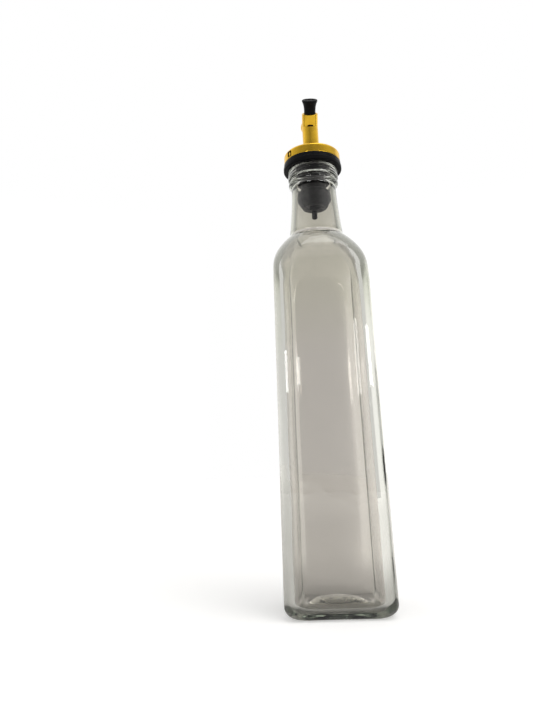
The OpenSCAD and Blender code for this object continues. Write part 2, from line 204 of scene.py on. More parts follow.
def eased(corners, closed=False):
    """Points of an outline with rounded corners, each given as (radius from the axis, height, rounding)."""
    made = []
    last = len(corners) - 1
    for i, (x, z, r) in enumerate(corners):
        here = Vector((x, z))
        if r <= 0 or (not closed and i in (0, last)):
            made.append(here)
            continue
        back = Vector(corners[i - 1][:2]) - here
        ahead = Vector(corners[(i + 1) % (last + 1)][:2]) - here
        turn = back.angle(ahead)
        cut = min(r / math.tan(turn / 2), back.length * LONGEST_CUT, ahead.length * LONGEST_CUT)
        r = cut * math.tan(turn / 2)
        back.normalize()
        ahead.normalize()
        centre = here + (back + ahead).normalized() * (r / math.sin(turn / 2))
        start, end = here + back * cut, here + ahead * cut
        steps = max(3, min(16, round(3 + r * 3)))
        # A point shortly before and after the rounding keeps the sides beside it flat
        lead = min(0.12, cut * 0.3)
        made.append(start + back * lead)
        arm = start - centre
        sweep = arm.angle_signed(end - centre)
        for k in range(steps + 1):
            a = -sweep * k / steps
            c, s = math.cos(a), math.sin(a)
            made.append(centre + Vector((arm.x * c - arm.y * s, arm.x * s + arm.y * c)))
        made.append(end + ahead * lead)
    return made


def arc(x, z, radius, start, end, steps, first=0):
    """Points (x, z) along an arc from one angle to another, from step number first on."""
    turns = [start + (end - start) * i / steps for i in range(first, steps + 1)]
    return [(x + radius * math.cos(a), z + radius * math.sin(a)) for a in turns]


def circle(radius, segments):
    """Points (x, y) set evenly round a circle."""
    turns = [2 * math.pi * k / segments for k in range(segments)]
    return [(radius * math.cos(a), radius * math.sin(a)) for a in turns]


def turned(points, closed=False, segments=96, place=Matrix()):
    """Vertices and faces of an outline turned about Z. An open outline starts and ends on the axis."""
    verts, rows = [], []
    for p in points:
        if p[0] < 1e-6:
            rows.append([len(verts)])
            verts.append(place @ Vector((0, 0, p[1])))
            continue
        rows.append(list(range(len(verts), len(verts) + segments)))
        verts += [place @ Vector((x, y, p[1])) for x, y in circle(p[0], segments)]
    faces = []
    pairs = list(zip(rows, rows[1:])) + ([(rows[-1], rows[0])] if closed else [])
    for low, high in pairs:
        faces += strip(low, high)
    return verts, faces


def strip(low, high):
    """Faces between two closed rings of indices.

    The longer ring may hold a whole number of steps for each of the shorter's.
    """
    n, m = len(low), len(high)
    if n == 1:
        return [(low[0], high[i], high[(i + 1) % m]) for i in range(m)]
    if m == 1:
        return [(low[i], high[0], low[(i + 1) % n]) for i in range(n)]
    if n <= m:
        k = m // n
        return [
            (low[i], *[high[(i * k + j) % m] for j in range(k + 1)], low[(i + 1) % n]) for i in range(n)
        ]
    k = n // m
    return [
        (*[low[(i * k + j) % n] for j in range(k, -1, -1)], high[i], high[(i + 1) % m]) for i in range(m)
    ]


def remade(mesh, *others, near=0.0, outward=False):
    """The mesh with others added to it, close points merged and its faces turned outwards, all smooth."""
    shell = bmesh.new()
    for part in (mesh, *others):
        shell.from_mesh(part)
    if near:
        bmesh.ops.remove_doubles(shell, verts=shell.verts, dist=near)
        bmesh.ops.dissolve_degenerate(shell, edges=shell.edges, dist=near)
    if outward:
        bmesh.ops.recalc_face_normals(shell, faces=shell.faces)
    shell.to_mesh(mesh)
    shell.free()
    mesh.shade_smooth()
    return mesh


def mesh_from(name, verts, faces, attributes=None):
    """A closed mesh in metres from millimetres, with its faces turned outwards."""
    mesh = bpy.data.meshes.new(name)
    mesh.from_pydata([Vector(v) * MM for v in verts], [], faces)
    for key, values in (attributes or {}).items():
        mesh.attributes.new(key, "FLOAT", "POINT").data.foreach_set("value", values)
    return remade(mesh, near=0.0 if attributes else 1e-7, outward=True)


def lathed(name, corners, closed=True, segments=96, place=Matrix()):
    """A closed mesh: a rounded outline turned about Z."""
    return mesh_from(name, *turned(eased(corners, closed=closed), closed, segments, place))


def placed(name, data):
    """A new object in the scene, at the origin."""
    obj = bpy.data.objects.new(name, data)
    bpy.context.scene.collection.objects.link(obj)
    return obj


def piece(name, mesh, finish, body, slot, *nodes):
    """Puts a finished mesh in the scene as a piece that rides on its body and stands for its solids."""
    mesh.name = name
    mesh.materials.clear()
    mesh.materials.append(finish)
    obj = placed(name, mesh)
    if nodes:
        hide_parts(*nodes)
    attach(obj, body)


def evaluated(holder, *helpers):
    """The mesh that an object's modifiers make; the object and its helpers are then removed."""
    graph = bpy.context.evaluated_depsgraph_get()
    graph.update()
    made = bpy.data.meshes.new_from_object(holder.evaluated_get(graph))
    for obj in (holder, *helpers):
        bpy.data.objects.remove(obj)
    if len(made.polygons) == 0:
        raise RuntimeError("the modifiers left no faces")
    return made


def carved(mesh, cutters):
    """The mesh with the cutters' volumes taken out."""
    base = placed("blank", mesh)
    tools = [placed("tool", cutter) for cutter in cutters]
    for tool in tools:
        step = base.modifiers.new("cut", "BOOLEAN")
        step.operation = "DIFFERENCE"
        step.solver = "EXACT"
        step.object = tool
    made = remade(evaluated(base, *tools), near=2e-7)
    made.set_sharp_from_angle(angle=SHARP)
    return made


def rod(radius, low, high, place=Matrix(), segments=64):
    """A closed round rod, for cutting bores."""
    outline = [Vector((0, low)), Vector((radius, low)), Vector((radius, high)), Vector((0, high))]
    return mesh_from("rod", *turned(outline, segments=segments, place=place))


# ------------------------------------------------------------------ materials


def add_node(tree, kind, links=None, **settings):
    """Adds a node with its settings; links gives each input a value, or the node or socket that feeds it."""
    made = tree.nodes.new(kind)
    for key, value in settings.items():
        setattr(made, key, value)
    for key, value in (links or {}).items():
        if isinstance(value, bpy.types.Node):
            value = value.outputs[0]
        if isinstance(value, bpy.types.NodeSocket):
            tree.links.new(value, made.inputs[key])
        else:
            made.inputs[key].default_value = value
    return made


def blank_material(name):
    """An empty material, its tree, and the object coordinates in metres."""
    made = bpy.data.materials.new(name)
    made.use_nodes = True
    made.node_tree.nodes.clear()
    where = add_node(made.node_tree, "ShaderNodeTexCoord").outputs["Object"]
    return made, made.node_tree, where


def per_metre(millimetres):
    """Scale of a pattern whose repeat is this many millimetres."""
    return 1 / (millimetres * MM)


def soda_lime_glass(look):
    """Soda-lime glass, blown in a mould: clear, faintly green where thick, its skin not quite flat."""
    made, tree, where = blank_material("soda_lime_glass_blown_in_mould")
    # The mould leaves a slow ripple, some 14 mm from crest to crest, that bends what is seen through it.
    stretch = add_node(tree, "ShaderNodeMapping", {"Vector": where, "Scale": (1.0, 1.0, 0.3)})
    ripple = add_node(tree, "ShaderNodeTexNoise", {"Vector": stretch, "Scale": per_metre(14), "Detail": 1.0})
    bump = add_node(tree, "ShaderNodeBump", {"Height": ripple, "Strength": 0.12, "Distance": 0.0012})
    # Handling leaves the skin a little less than perfectly clear in places, some 9 mm across.
    smear = add_node(tree, "ShaderNodeTexNoise", {"Vector": where, "Scale": per_metre(9), "Detail": 3.0})
    rough = add_node(
        tree,
        "ShaderNodeMapRange",
        {"Value": smear, "From Min": 0.45, "From Max": 0.75, "To Min": 0.0, "To Max": 0.03},
    )
    glass = add_node(
        tree,
        "ShaderNodeBsdfPrincipled",
        {
            "Base Color": (*look.glass, 1.0),
            "IOR": 1.52,
            "Transmission Weight": 1.0,
            "Roughness": rough,
            "Normal": bump,
        },
    )
    depth = add_node(tree, "ShaderNodeVolumeAbsorption", {"Color": (*look.glass_depth, 1.0), "Density": 15.0})
    add_node(tree, "ShaderNodeOutputMaterial", {"Surface": glass, "Volume": depth})
    return made


def matt_glass(look):
    """Soda-lime glass, matt, pitted and near white: painted highlight for the glints on the mould's dots."""
    made, tree, where = blank_material("soda_lime_glass_matt_from_punch")
    pits = add_node(tree, "ShaderNodeTexNoise", {"Vector": where, "Scale": per_metre(0.6), "Detail": 2.0})
    rough = add_node(tree, "ShaderNodeMapRange", {"Value": pits, "To Min": 0.35, "To Max": 0.6})
    # Near white and barely clear, so that the dots show as bright glints: painted highlight
    glass = add_node(
        tree,
        "ShaderNodeBsdfPrincipled",
        {
            "Base Color": (*look.frosting, 1.0),
            "IOR": 1.52,
            "Transmission Weight": 0.2,
            "Roughness": rough,
        },
    )
    add_node(tree, "ShaderNodeOutputMaterial", {"Surface": glass})
    return made


def gold_plate(look):
    """Brass, polished and gold plated: deep yellow reflections with a soft satin blur."""
    made, tree, where = blank_material("gold_plated_brass_polished")
    # Tone wanders a little over some 6 mm, as plating does.
    tone = add_node(tree, "ShaderNodeTexNoise", {"Vector": where, "Scale": per_metre(6), "Detail": 4.0})
    colour = add_node(tree, "ShaderNodeValToRGB", {"Fac": tone})
    colour.color_ramp.elements[0].position = 0.3
    colour.color_ramp.elements[0].color = (*look.gold_worn, 1.0)
    colour.color_ramp.elements[1].position = 0.62
    colour.color_ramp.elements[1].color = (*look.gold, 1.0)
    # Polishing lines run round each part: real ones are 0.05 mm apart, drawn here at 0.5 mm to show.
    lines = add_node(tree, "ShaderNodeMapping", {"Vector": where, "Scale": (0.06, 0.06, 1.0)})
    grain = add_node(tree, "ShaderNodeTexNoise", {"Vector": lines, "Scale": per_metre(0.5), "Detail": 2.0})
    rough = add_node(
        tree,
        "ShaderNodeMapRange",
        {"Value": grain, "From Min": 0.3, "From Max": 0.7, "To Min": 0.17, "To Max": 0.23},
    )
    bump = add_node(tree, "ShaderNodeBump", {"Height": grain, "Strength": 0.05, "Distance": 0.00002})
    metal = add_node(
        tree,
        "ShaderNodeBsdfPrincipled",
        {
            "Base Color": colour,
            "Metallic": 1.0,
            "Roughness": rough,
            "Normal": bump,
        },
    )
    add_node(tree, "ShaderNodeOutputMaterial", {"Surface": metal})
    return made


def soft_rubber(name, colour, dust):
    """Thermoplastic rubber, moulded: near black, with a faint sheen and a fine dusty grain."""
    made, tree, where = blank_material(name)
    # Bloom on the rubber clouds it over some 5 mm.
    cloud = add_node(tree, "ShaderNodeTexNoise", {"Vector": where, "Scale": per_metre(5), "Detail": 5.0})
    tint = add_node(tree, "ShaderNodeValToRGB", {"Fac": cloud})
    tint.color_ramp.elements[0].position = 0.35
    tint.color_ramp.elements[0].color = (*[c * 0.75 for c in colour], 1.0)
    tint.color_ramp.elements[1].position = 0.7
    tint.color_ramp.elements[1].color = (*[c * dust for c in colour], 1.0)
    # The mould's grain is 0.1 mm; 0.35 mm is the finest that shows.
    grain = add_node(tree, "ShaderNodeTexNoise", {"Vector": where, "Scale": per_metre(0.35), "Detail": 2.0})
    bump = add_node(tree, "ShaderNodeBump", {"Height": grain, "Strength": 0.2, "Distance": 0.00005})
    rough = add_node(
        tree,
        "ShaderNodeMapRange",
        {"Value": cloud, "From Min": 0.3, "From Max": 0.7, "To Min": 0.38, "To Max": 0.56},
    )
    rubber = add_node(
        tree,
        "ShaderNodeBsdfPrincipled",
        {
            "Base Color": tint,
            "Roughness": rough,
            "Specular IOR Level": 0.08,
            "Sheen Weight": 0.02,
            "Normal": bump,
        },
    )
    add_node(tree, "ShaderNodeOutputMaterial", {"Surface": rubber})
    return made


def moulded_plastic(look):
    """Polypropylene, injection moulded: black and smooth, with a faint flow pattern in its gloss."""
    made, tree, where = blank_material("polypropylene_injection_moulded")
    flow = add_node(tree, "ShaderNodeMapping", {"Vector": where, "Scale": (1.0, 1.0, 0.35)})
    swirl = add_node(tree, "ShaderNodeTexNoise", {"Vector": flow, "Scale": per_metre(3), "Detail": 3.0})
    tint = add_node(tree, "ShaderNodeValToRGB", {"Fac": swirl})
    tint.color_ramp.elements[0].color = (*[c * 0.7 for c in look.plastic], 1.0)
    tint.color_ramp.elements[1].color = (*[c * 1.5 for c in look.plastic], 1.0)
    rough = add_node(
        tree,
        "ShaderNodeMapRange",
        {"Value": swirl, "From Min": 0.3, "From Max": 0.7, "To Min": 0.24, "To Max": 0.36},
    )
    bump = add_node(tree, "ShaderNodeBump", {"Height": swirl, "Strength": 0.15, "Distance": 0.00004})
    plastic = add_node(
        tree,
        "ShaderNodeBsdfPrincipled",
        {
            "Base Color": tint,
            "Roughness": rough,
            "Specular IOR Level": 0.15,
            "Normal": bump,
        },
    )
    add_node(tree, "ShaderNodeOutputMaterial", {"Surface": plastic})
    return made


# The materials made so far, by name
MADE = {}


def finish(name):
    """The finished material of that kind, made once."""
    look = bpy.context.scene.bottle_finishes
    makers = {
        "glass": lambda: soda_lime_glass(look),
        "matt_glass": lambda: matt_glass(look),
        "gold": lambda: gold_plate(look),
        "sleeve": lambda: soft_rubber("thermoplastic_rubber_moulded_sleeve", look.rubber, 1.3),
        "plug": lambda: soft_rubber("thermoplastic_rubber_moulded_plug", look.plug, 1.6),
        "plastic": lambda: moulded_plastic(look),
    }
    if name not in MADE:
        MADE[name] = makers[name]()
    return MADE[name]


# ------------------------------------------------------------------ the glass bottle


def bearings():
    """Directions round the body: wide steps along its flats, and a degree apart round its corners."""
    flat, steps = 33, 8
    wide = [flat * i / steps for i in range(steps)]
    quarter = wide + [flat + i for i in range(90 - 2 * flat)] + [90 - flat + a for a in wide]
    return [math.radians(90 * q + a) for q in range(4) for a in quarter]


def finer(directions, times):
    """The same directions with each step cut into this many."""
    made = []
    for i, a in enumerate(directions):
        b = directions[(i + 1) % len(directions)] + (2 * math.pi if i == len(directions) - 1 else 0)
        made += [a + (b - a) * k / times for k in range(times)]
    return made


def cap(radius, rise, r):
    """Height above its rim of a round cap of this radius and rise, at a distance r from its middle."""
    ball = (radius**2 + rise**2) / (2 * rise)
    return rise - ball + math.sqrt(ball * ball - r * r)


def span(w, c, bearing):
    """Distance from the axis to a square of half width w and corner radius c, along a bearing."""
    a = bearing % (math.pi / 2)
    a = min(a, math.pi / 2 - a)
    m = w - c
    if w * math.tan(a) <= m:
        return w / math.cos(a)
    along = m * (math.cos(a) + math.sin(a))
    return along + math.sqrt(max(0.0, along * along - (2 * m * m - c * c)))


class GlassForm:
    """The bottle's own numbers in millimetres, worked out from its sizes."""

    def __init__(self, s):
        for key in s.__annotations__:
            setattr(self, key, getattr(s, key) / MM)
        self.half = reach_of("glass_bottle")
        self.mouth = top_of("glass_bottle")
        self.neck_top = self.mouth - self.finish_height
        self.centre = self.half - self.shoulder_radius
        across = self.neck_root_radius + self.neck_fillet - self.centre
        rise = math.sqrt((self.shoulder_radius + self.neck_fillet) ** 2 - across**2)
        self.neck_foot = self.shoulder_height + rise
        self.handover = math.atan2(rise, across)
        self.blend_foot = self.shoulder_height - self.corner_blend

    def opened(self, z, inset):
        """How far the corners have opened out at a height: 0 on the body, 1 at the neck."""
        seam = self.shoulder_height + (self.shoulder_radius - inset) * math.sin(self.handover)
        t = max(0.0, (z - self.blend_foot) / (seam - self.blend_foot))
        return min(1.0, t**1.5)

    def corner(self, w, z, inset):
        """Corner radius at a height."""
        base = self.inner_corner_radius if inset else self.corner_radius
        return min(w, base + (w - base) * self.opened(z, inset))

    def upright(self, low, inset):
        """Rows of (half width, corner radius, height) from the body's foot up to the neck's foot."""
        start, step = 0.4, 3.6
        rows = []
        z = low + start
        while z < self.blend_foot - 2:
            rows.append((self.half - inset, z))
            z += step
        rows += [(self.half - inset, self.blend_foot + self.corner_blend * i / 6) for i in range(6)]
        rows += arc(self.centre, self.shoulder_height, self.shoulder_radius - inset, 0, self.handover, 26)
        return [(w, self.corner(w, z, inset), z) for w, z in rows]

    def neck(self, inset, top_radius):
        """Rows up the inward curve and the tapered neck."""
        fillet = self.neck_fillet + inset
        foot = self.neck_root_radius - inset
        slope = math.atan(1.4 * (foot - top_radius) / (self.neck_top - self.neck_foot))
        start, end = math.pi + self.handover, math.pi - slope
        rows = arc(foot + fillet, self.neck_foot, fillet, start, end, 8, first=1)
        first = rows[-1][1]
        for i in range(1, 17):
            z = first + (self.neck_top - first) * i / 16
            t = (z - self.neck_foot) / (self.neck_top - self.neck_foot)
            rows.append((top_radius + (foot - top_radius) * max(0.0, 1 - t) ** 1.4, z))
        return [(r, r, z) for r, z in rows]

    def mouth_rows(self):
        """Rows over the bead, the groove, the upper ring and the lip."""
        groove, groove_height = 15.1, 0.8
        ring_low = self.mouth - self.ring_height
        bead = ring_low - groove_height - self.bead_radius
        core = self.bead_reach - self.bead_radius
        # The bead shows this much of its round section, above and below its middle
        shown = math.radians(66)
        outline = [(self.neck_top_radius, self.neck_top + 1.2)]
        outline += arc(core, bead, self.bead_radius, -shown, shown, 12)
        corners = [
            (outline[-1][0], outline[-1][1], 0),
            (groove, ring_low - 0.35, 0.25),
            (self.ring_radius, ring_low, 0.45),
            (self.ring_radius, self.mouth, 1.1),
            (self.bore_radius, self.mouth, 1.1),
            (self.bore_radius, self.neck_top - 1.5, 0),
        ]
        outline += [(p.x, p.y) for p in eased(corners)][1:-1]
        rows = [(r, r, z) for r, z in outline]
        rows += [(self.bore_radius, self.bore_radius, z) for z in (self.mouth - 4, self.mouth - 9)]
        return rows

    def punt(self):
        """Rows from the middle of the hollow under the bottle out to the foot."""
        rows = []
        for i in range(1, 34):
            r = self.punt_radius * i / 33
            z = cap(self.punt_radius, self.punt_depth, r)
            # Two shallow rings left by the mould's base
            for ring in (6.2, 8.6):
                z -= 0.22 * math.exp(-(((r - ring) / 0.45) ** 2))
            rows.append((r, r, z + self.knurl_depth))
        return rows

    def dome(self):
        """Rows from the edge of the inner floor's dome in to its middle."""
        rows = []
        for i in range(26, 0, -1):
            r = self.dome_radius * i / 26
            z = self.floor_height + cap(self.dome_radius, self.dome_rise, r)
            # A low wave runs round the dome, 5.6 mm from crest to crest and growing outwards
            z += 0.09 * math.cos(2 * math.pi * r / 5.6) * (r / self.dome_radius)
            rows.append((r, r, z))
        return rows


# Bearings in degrees either side over which the inner corners are drawn smooth, and the share of each
DRAWN = [(-8, 0.1), (-5.5, 0.16), (-2.5, 0.16), (0, 0.16), (2.5, 0.16), (5.5, 0.16), (8, 0.1)]


def glass_rows(g):
    """Rows of the whole shell: under the foot, up the outside, over the lip and down the inside.

    Each is its directions, (half width, corner radius, height) and how much of the ridges it takes.
    """
    # The foot's flat ring starts just outside the hollow and ends where the heel begins
    foot_low, foot_high = g.punt_radius + 0.4, g.half - g.heel_radius
    rows = [("coarse", row, 0.0) for row in g.punt()]
    for i in range(7):
        t = i / 6
        w = foot_low + (foot_high - foot_low) * t
        c = w + (g.corner_radius - w) * min(1.0, t * 1.15)
        rows.append(("fine", (w, c, g.knurl_depth), min(1.0, t * 3)))
    for i in range(1, 11):
        a = math.radians(9 * i)
        w = foot_high + g.heel_radius * math.sin(a)
        z = g.knurl_depth + (g.heel_radius - g.knurl_depth) * (1 - math.cos(a))
        kind = "fine" if i < 6 else "coarse"
        rows.append((kind, (w, g.corner_radius, z), max(0.0, 1 - i / 5)))
    outside = g.upright(g.heel_radius, 0.0) + g.neck(0.0, g.neck_top_radius) + g.mouth_rows()
    rows += [("coarse", row, 0.0) for row in outside]
    inside_up = g.neck(g.wall, g.bore_radius)
    rows += [("coarse", row, 0.0) for row in reversed(inside_up)]
    body_up = g.upright(g.floor_height + g.floor_fillet, g.wall)
    rows += [("inner", row, 0.0) for row in reversed(body_up)]
    for i in range(9, -1, -1):
        a = math.radians(10 * i)
        w = g.half - g.wall - g.floor_fillet + g.floor_fillet * math.sin(a)
        z = g.floor_height + g.floor_fillet * (1 - math.cos(a))
        c = g.inner_corner_radius + (w - g.half + g.wall) * 0.4
        rows.append(("inner", (w, c, z), 0.0))
    last = rows[-1][1]
    for t in (0.35, 0.7):
        w = last[0] + (g.dome_radius - last[0]) * t
        rows.append(("coarse", (w, last[1] + (w - last[1]) * t, g.floor_height), 0.0))
    return rows + [("coarse", row, 0.0) for row in g.dome()]


def ridge_phase(g, directions):
    """Number of ridges round the foot from the first direction to each of them."""
    half = g.half - g.heel_radius + 1
    edge = [Vector((math.cos(a), math.sin(a))) * span(half, g.corner_radius, a) for a in directions]
    run, around = 0.0, []
    for i, p in enumerate(edge):
        around.append(run)
        run += (edge[(i + 1) % len(edge)] - p).length
    ridges = round(run / g.knurl_pitch)
    return [x * ridges / run for x in around]


def bottle_mesh(s):
    """One closed shell of glass, with what the ridges need on its points."""
    g = GlassForm(s)
    coarse = bearings()
    fine = finer(coarse, 6)
    around = ridge_phase(g, fine)
    # Heights between which the inner face is wavy, and how gradually that ends
    low_end, high_end, run_out = 5, 205, 25
    verts = [Vector((0, 0, g.punt_depth + g.knurl_depth))]
    phase, mask = [0.0], [0.0]
    rings = [[0]]
    for kind, (w, c, z), weight in glass_rows(g):
        ring = []
        for i, a in enumerate(fine if kind == "fine" else coarse):
            r = span(w, c, a)
            if kind == "inner":
                # The glass drew the inner corners smooth: their curve comes and goes gradually
                r = sum(share * span(w, c, a + math.radians(d)) for d, share in DRAWN)
                spot = Vector((math.cos(a) * 1.3, math.sin(a) * 1.3, z / 34))
                fade = min(1.0, (z - low_end) / run_out) * min(1.0, max(0.0, (high_end - z) / run_out))
                r += g.waviness * 2 * noise.noise(spot) * fade
            ring.append(len(verts))
            verts.append(Vector((r * math.cos(a), r * math.sin(a), z)))
            phase.append(around[i] if kind == "fine" else 0.0)
            mask.append(weight if kind == "fine" else 0.0)
        rings.append(ring)
    rings.append([len(verts)])
    verts.append(Vector((0, 0, g.floor_height + g.dome_rise)))
    phase.append(0.0)
    mask.append(0.0)
    faces = []
    for low, high in zip(rings, rings[1:]):
        faces += strip(low, high)
    return mesh_from("glass", verts, faces, {"ridge_count": phase, "ridge_share": mask})


def through_nodes(mesh, tree, **values):
    """The mesh after a node tree with these inputs, as plain geometry."""
    holder = placed("blank", mesh)
    step = holder.modifiers.new("nodes", "NODES")
    step.node_group = tree
    names = {s.name: s.identifier for s in tree.interface.items_tree if s.in_out == "INPUT"}
    for key, value in values.items():
        step[names[key.replace("_", " ").capitalize()]] = value
    return evaluated(holder)


def node_tree(name, sockets):
    """A geometry tree with its named sizes, and its input."""
    tree = bpy.data.node_groups.new(name, "GeometryNodeTree")
    tree.is_modifier = True
    tree.interface.new_socket("Geometry", in_out="INPUT", socket_type="NodeSocketGeometry")
    for label, kind, default in sockets:
        made = tree.interface.new_socket(label, in_out="INPUT", socket_type=kind)
        made.default_value = default
    tree.interface.new_socket("Geometry", in_out="OUTPUT", socket_type="NodeSocketGeometry")
    return tree, add_node(tree, "NodeGroupInput")


def knurl_tree(material):
    """Presses a ring of ridges down out of the foot, one for each whole step of ridge_count."""
    tree, start = node_tree("foot_knurl", [("Ridge depth", "NodeSocketFloat", 0.00035)])
    count = add_node(tree, "GeometryNodeInputNamedAttribute", {"Name": "ridge_count"}, data_type="FLOAT")
    share = add_node(tree, "GeometryNodeInputNamedAttribute", {"Name": "ridge_share"}, data_type="FLOAT")
    turn = add_node(tree, "ShaderNodeMath", {0: count, 1: 2 * math.pi}, operation="MULTIPLY")
    wave = add_node(tree, "ShaderNodeMath", {0: turn}, operation="COSINE")
    lift = add_node(tree, "ShaderNodeMapRange", {"Value": wave, "From Min": -1.0, "From Max": 1.0})
    drop = add_node(tree, "ShaderNodeMath", {0: lift, 1: share}, operation="MULTIPLY")
    deep = add_node(tree, "ShaderNodeMath", {0: drop, 1: start.outputs["Ridge depth"]}, operation="MULTIPLY")
    down = add_node(tree, "ShaderNodeVectorMath", {0: (0.0, 0.0, -1.0), "Scale": deep}, operation="SCALE")
    moved = add_node(tree, "GeometryNodeSetPosition", {"Geometry": start.outputs["Geometry"], "Offset": down})
    real = add_node(tree, "GeometryNodeRealizeInstances", {"Geometry": moved})
    coat = add_node(tree, "GeometryNodeSetMaterial", {"Geometry": real, "Material": material})
    add_node(tree, "NodeGroupOutput", {0: coat})
    return tree


def dot_tree(material):
    """Sets a small flattened bead of glass on every point."""
    tree, start = node_tree("mould_dots", [("Dot radius", "NodeSocketFloat", 0.0008)])
    bead = add_node(
        tree, "GeometryNodeMeshUVSphere", {"Segments": 20, "Rings": 12, "Radius": start.outputs["Dot radius"]}
    )
    flat = add_node(tree, "GeometryNodeTransform", {"Geometry": bead, "Scale": (1.0, 1.0, 0.6)})
    spread = add_node(
        tree, "GeometryNodeInstanceOnPoints", {"Points": start.outputs["Geometry"], "Instance": flat}
    )
    real = add_node(tree, "GeometryNodeRealizeInstances", {"Geometry": spread})
    smooth = add_node(tree, "GeometryNodeSetShadeSmooth", {"Geometry": real})
    coat = add_node(tree, "GeometryNodeSetMaterial", {"Geometry": smooth, "Material": material})
    add_node(tree, "NodeGroupOutput", {0: coat})
    return tree


# Places of the mould's dots under the bottle in millimetres from its axis, and the radius of each
DOTS = [
    (-17.3, -3.5), (-6.0, -6.2), (3.2, -5.4), (6.5, -5.1),
    (9.3, -4.1), (12.4, -2.4), (15.4, -0.3), (18.2, -1.2),
]
DOT_RADIUS = 0.9


class OILBOTTLE_OT_glass(bpy.types.Operator):
    """Build the bottle of clear glass, with its knurled foot and ringed mouth"""

    bl_idname = "oilbottle.glass"
    bl_label = "Glass Bottle"

    def execute(self, context):
        sizes = context.scene.bottle_sizes
        glass = finish("glass")
        plain = bottle_mesh(sizes)
        ridged = through_nodes(plain, knurl_tree(glass), ridge_depth=sizes.knurl_depth)
        ridged.shade_smooth()
        piece("bottle_glass", ridged, glass, "bottle", "bottle_glass", "glass_bottle")
        return {"FINISHED"}


class OILBOTTLE_OT_dots(bpy.types.Operator):
    """Set the mould's row of dots in the hollow under the bottle"""

    bl_idname = "oilbottle.dots"
    bl_label = "Mould Dots"

    def execute(self, context):
        g = GlassForm(context.scene.bottle_sizes)
        heights = [cap(g.punt_radius, g.punt_depth, math.hypot(x, y)) + g.knurl_depth for x, y in DOTS]
        spots = [Vector((x, y, z)) * MM for (x, y), z in zip(DOTS, heights)]
        points = bpy.data.meshes.new("dot_places")
        points.from_pydata(spots, [], [])
        made = through_nodes(points, dot_tree(finish("matt_glass")), dot_radius=DOT_RADIUS * MM)
        piece("mould_dots", made, finish("matt_glass"), "bottle", "bottle_glass")
        return {"FINISHED"}


# ------------------------------------------------------------------ the pourer

# Radii in millimetres of the spout's spigot and the breather's peg, and of the holes that take them
SPIGOT, SPIGOT_SEAT = 4.7, 4.75
PEG, PEG_HOLE = 2.9, 2.95
# Room round the core, in which it turns in the sleeve
TURN_ROOM = 0.06


class PourerForm:
    """The pourer's own numbers in millimetres."""

    def __init__(self, s):
        for key in s.__annotations__:
            value = getattr(s, key)
            plain = key in ("rib_count", "window_bearing", "spout_lean")
            setattr(self, key, value if plain else value / MM)
        self.mouth = top_of("glass_bottle")
        self.sleeve_top = top_of("stopper_sleeve")
        self.bell_foot = foot_of("stopper_sleeve")
        self.core_top = foot_of("collar")
        self.core_foot = foot_of("stopper_core")
        self.ring_top = top_of("stopper_core")
        self.collar_top = top_of("collar")
        self.collar_radius = reach_of("collar")
        self.elbow = self.collar_top + self.spout_rise
        self.plate_top = self.collar_top - 0.95
        self.plate_low = self.plate_top - 1.2
        self.step = self.mouth - self.core_step_depth
        lean = Matrix.Rotation(self.spout_lean, 4, "X")
        self.leaning = Matrix.Translation((0, 0, self.elbow)) @ lean


class OILBOTTLE_OT_sleeve(bpy.types.Operator):
    """Build the soft ribbed sleeve that seals the pourer in the neck"""

    bl_idname = "oilbottle.sleeve"
    bl_label = "Stopper Sleeve"

    def execute(self, context):
        p = PourerForm(context.scene.pourer_sizes)
        # The sleeve's wall with its room round the core, and the gap over and under its flange
        wall, seat = 1.06, 0.03
        inner = p.core_radius + TURN_ROOM
        waist = p.core_radius + wall
        body = p.core_top_radius + wall
        bell = p.mouth - p.bell_depth
        corners = [
            (inner, p.bell_foot, 0.2),
            (inner + 0.8, p.bell_foot, 0.3),
            (p.rib_radius, bell - 1.4, 0.5),
            (p.rib_radius, bell - 0.2, 0),
        ]
        # The bell draws in to the waist in a quarter of a curve
        for k in range(1, 13):
            a = math.radians(7.5 * k)
            x = waist + (p.rib_radius - waist) * math.cos(a)
            corners.append((x, bell + 5.6 * math.sin(a), 0))
        lowest = p.mouth - p.rib_depth
        corners += [(waist, lowest - p.rib_height - 0.5, 0.7)]
        for k in range(p.rib_count):
            z = lowest + k * p.rib_pitch
            corners += [
                (body, z - p.rib_height, 0.35),
                (p.rib_radius, z - p.rib_height / 2, 0.3),
                (p.rib_radius, z + p.rib_height / 2, 0.3),
                (body, z + p.rib_height, 0.35),
            ]
        edge = reach_of("stopper_sleeve")
        corners += [
            (body, p.mouth + seat, 0.5),
            (edge, p.mouth + seat, 0.7),
            (edge, p.sleeve_top - seat, 0.6),
            (p.core_top_radius + TURN_ROOM, p.sleeve_top - seat, 0.2),
            (p.core_top_radius + TURN_ROOM, p.step - TURN_ROOM, 0.1),
            (inner, p.step - TURN_ROOM, 0.1),
        ]
        mesh = lathed("sleeve", corners, segments=128)
        piece("sleeve_rubber", mesh, finish("sleeve"), "stopper", "sleeve_rubber", "stopper_sleeve")
        return {"FINISHED"}


